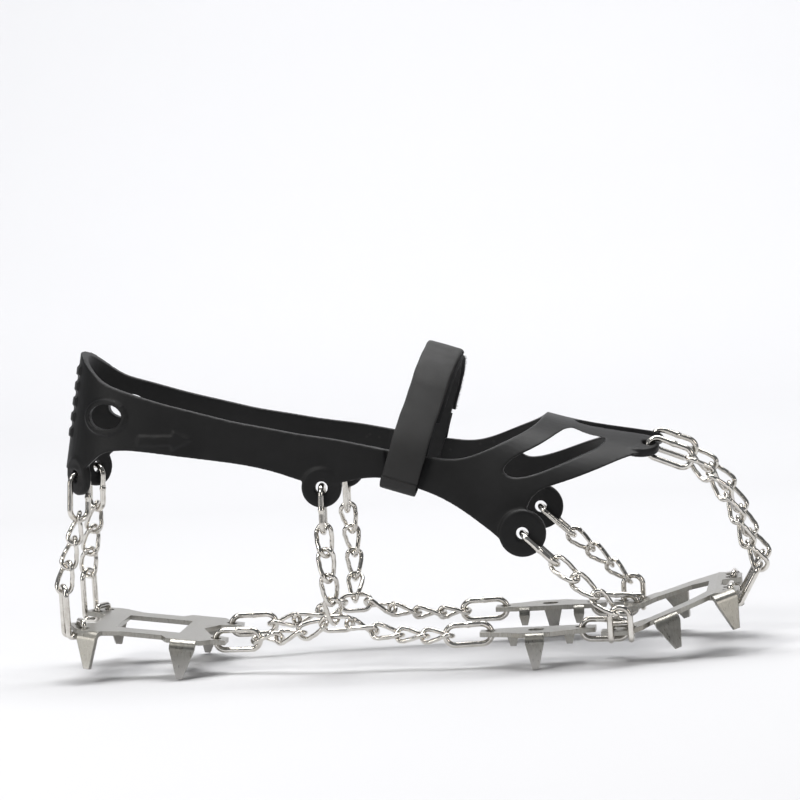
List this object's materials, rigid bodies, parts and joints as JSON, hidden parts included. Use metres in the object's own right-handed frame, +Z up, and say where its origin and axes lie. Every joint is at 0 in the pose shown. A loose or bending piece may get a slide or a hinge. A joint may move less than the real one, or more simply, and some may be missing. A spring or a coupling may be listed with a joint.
{
  "type": "chain crampon",
  "caption": "Strap-on walking crampon: a moulded elastic harness carries steel chains and toothed plates under a boot, held by an instep strap.",
  "frame": {"origin": "middle of the length and width, on the ground under the points", "axes": "+X towards the toe, +Z up, +Y to the side with the strap's sewn end"},
  "size_m": [0.307, 0.1092, 0.1404],
  "materials": {
    "elastomer": "satin moulded elastomer",
    "plate_steel": "brushed stainless sheet",
    "chain_steel": "polished welded wire",
    "webbing": "smooth woven strap",
    "loop_pile": "brushed loop pile",
    "hook_tape": "hook tape"
  },
  "bodies": {
    "harness_and_plates": {"harness": "elastomer", "heel_plate": "plate_steel", "front_plate": "plate_steel", "ball_plate_near": "plate_steel", "ball_plate_far": "plate_steel", "strap_base": "webbing", "strap_loop_pile": "loop_pile", "strap_sewn_tail": "webbing"},
    "strap_flap": {"strap_flap": "webbing", "strap_hook_tape": "hook_tape"},
    "heel_run_near": {"heel_eyelet_link_near": "chain_steel", "heel_chain_near": "chain_steel", "heel_end_link_near": "chain_steel"},
    "arch_run_near": {"arch_eyelet_link_near": "chain_steel", "arch_chain_near": "chain_steel"},
    "fore_run_near": {"fore_eyelet_link_near": "chain_steel", "fore_chain_near": "chain_steel", "fore_end_link_near": "chain_steel"},
    "toe_run_near": {"toe_eyelet_link_near": "chain_steel", "toe_chain_near": "chain_steel", "toe_end_link_near": "chain_steel"},
    "sole_rear_run_near": {"sole_rear_link_near": "chain_steel", "sole_rear_chain_near": "chain_steel"},
    "sole_join_near": {"sole_joining_link_near": "chain_steel"},
    "sole_front_run_near": {"sole_front_chain_near": "chain_steel", "sole_front_link_near": "chain_steel"},
    "plate_link_near": {"plate_link_near": "chain_steel"},
    "heel_run_far": {"heel_eyelet_link_far": "chain_steel", "heel_chain_far": "chain_steel", "heel_end_link_far": "chain_steel"},
    "arch_run_far": {"arch_eyelet_link_far": "chain_steel", "arch_chain_far": "chain_steel"},
    "fore_run_far": {"fore_eyelet_link_far": "chain_steel", "fore_chain_far": "chain_steel", "fore_end_link_far": "chain_steel"},
    "toe_run_far": {"toe_eyelet_link_far": "chain_steel", "toe_chain_far": "chain_steel", "toe_end_link_far": "chain_steel"},
    "sole_rear_run_far": {"sole_rear_link_far": "chain_steel", "sole_rear_chain_far": "chain_steel"},
    "sole_join_far": {"sole_joining_link_far": "chain_steel"},
    "sole_front_run_far": {"sole_front_chain_far": "chain_steel", "sole_front_link_far": "chain_steel"},
    "plate_link_far": {"plate_link_far": "chain_steel"}
  },
  "joints": [
    {"name": "strap_peel", "type": "hinge", "parent": "harness_and_plates", "child": "strap_flap", "pos_m": [0.00118, -0.0467, 0.0818], "axis": [0.9455, 0, -0.3256], "range_deg": [0, 50]},
    {"name": "heel_run_near_roll", "type": "hinge", "parent": "harness_and_plates", "child": "heel_run_near", "pos_m": [-0.14122, -0.0186, 0.0868], "axis": [-0.0369, -0.0831, -0.9959], "range_deg": [-5, 5]},
    {"name": "arch_run_near_roll", "type": "hinge", "parent": "harness_and_plates", "child": "arch_run_near", "pos_m": [-0.03302, -0.0383, 0.0784], "axis": [0.0319, 0.0958, -0.9949], "range_deg": [-6, 6]},
    {"name": "fore_run_near_roll", "type": "hinge", "parent": "harness_and_plates", "child": "fore_run_near", "pos_m": [0.05298, -0.0484, 0.0562], "axis": [0.656, 0.0868, -0.7497], "range_deg": [-4, 4]},
    {"name": "toe_run_near_roll", "type": "hinge", "parent": "harness_and_plates", "child": "toe_run_near", "pos_m": [0.10618, -0.018, 0.0881], "axis": [0.4198, -0.0288, -0.9072], "range_deg": [-4, 4]},
    {"name": "sole_rear_run_near_roll", "type": "hinge", "parent": "harness_and_plates", "child": "sole_rear_run_near", "pos_m": [-0.08432, -0.022, 0.0139], "axis": [0.972, -0.1964, 0.1289], "range_deg": [-8, 8]},
    {"name": "sole_join_near_roll", "type": "hinge", "parent": "harness_and_plates", "child": "sole_join_near", "pos_m": [-0.03682, -0.0316, 0.0202], "axis": [1, 0, 0], "range_deg": [-4, 4]},
    {"name": "sole_front_run_near_roll", "type": "hinge", "parent": "harness_and_plates", "child": "sole_front_run_near", "pos_m": [-0.02562, -0.0316, 0.0202], "axis": [0.9906, -0.0899, -0.1032], "range_deg": [-8, 8]},
    {"name": "plate_link_near_roll", "type": "hinge", "parent": "harness_and_plates", "child": "plate_link_near", "pos_m": [0.07318, -0.037, 0.014], "axis": [0.9976, 0.0494, -0.0494], "range_deg": [-8, 8]},
    {"name": "heel_run_far_roll", "type": "hinge", "parent": "harness_and_plates", "child": "heel_run_far", "pos_m": [-0.14122, 0.0186, 0.0868], "axis": [-0.0369, 0.0831, -0.9959], "range_deg": [-5, 5]},
    {"name": "arch_run_far_roll", "type": "hinge", "parent": "harness_and_plates", "child": "arch_run_far", "pos_m": [-0.03302, 0.0383, 0.0784], "axis": [0.0319, -0.0958, -0.9949], "range_deg": [-6, 6]},
    {"name": "fore_run_far_roll", "type": "hinge", "parent": "harness_and_plates", "child": "fore_run_far", "pos_m": [0.05298, 0.0484, 0.0562], "axis": [0.656, -0.0868, -0.7497], "range_deg": [-4, 4]},
    {"name": "toe_run_far_roll", "type": "hinge", "parent": "harness_and_plates", "child": "toe_run_far", "pos_m": [0.10618, 0.018, 0.0881], "axis": [0.4198, 0.0288, -0.9072], "range_deg": [-4, 4]},
    {"name": "sole_rear_run_far_roll", "type": "hinge", "parent": "harness_and_plates", "child": "sole_rear_run_far", "pos_m": [-0.08432, 0.022, 0.0139], "axis": [0.972, 0.1964, 0.1289], "range_deg": [-8, 8]},
    {"name": "sole_join_far_roll", "type": "hinge", "parent": "harness_and_plates", "child": "sole_join_far", "pos_m": [-0.03682, 0.0316, 0.0202], "axis": [1, 0, 0], "range_deg": [-4, 4]},
    {"name": "sole_front_run_far_roll", "type": "hinge", "parent": "harness_and_plates", "child": "sole_front_run_far", "pos_m": [-0.02562, 0.0316, 0.0202], "axis": [0.9906, 0.0899, -0.1032], "range_deg": [-8, 8]},
    {"name": "plate_link_far_roll", "type": "hinge", "parent": "harness_and_plates", "child": "plate_link_far", "pos_m": [0.07318, 0.037, 0.014], "axis": [0.9976, -0.0494, -0.0494], "range_deg": [-8, 8]}
  ]
}
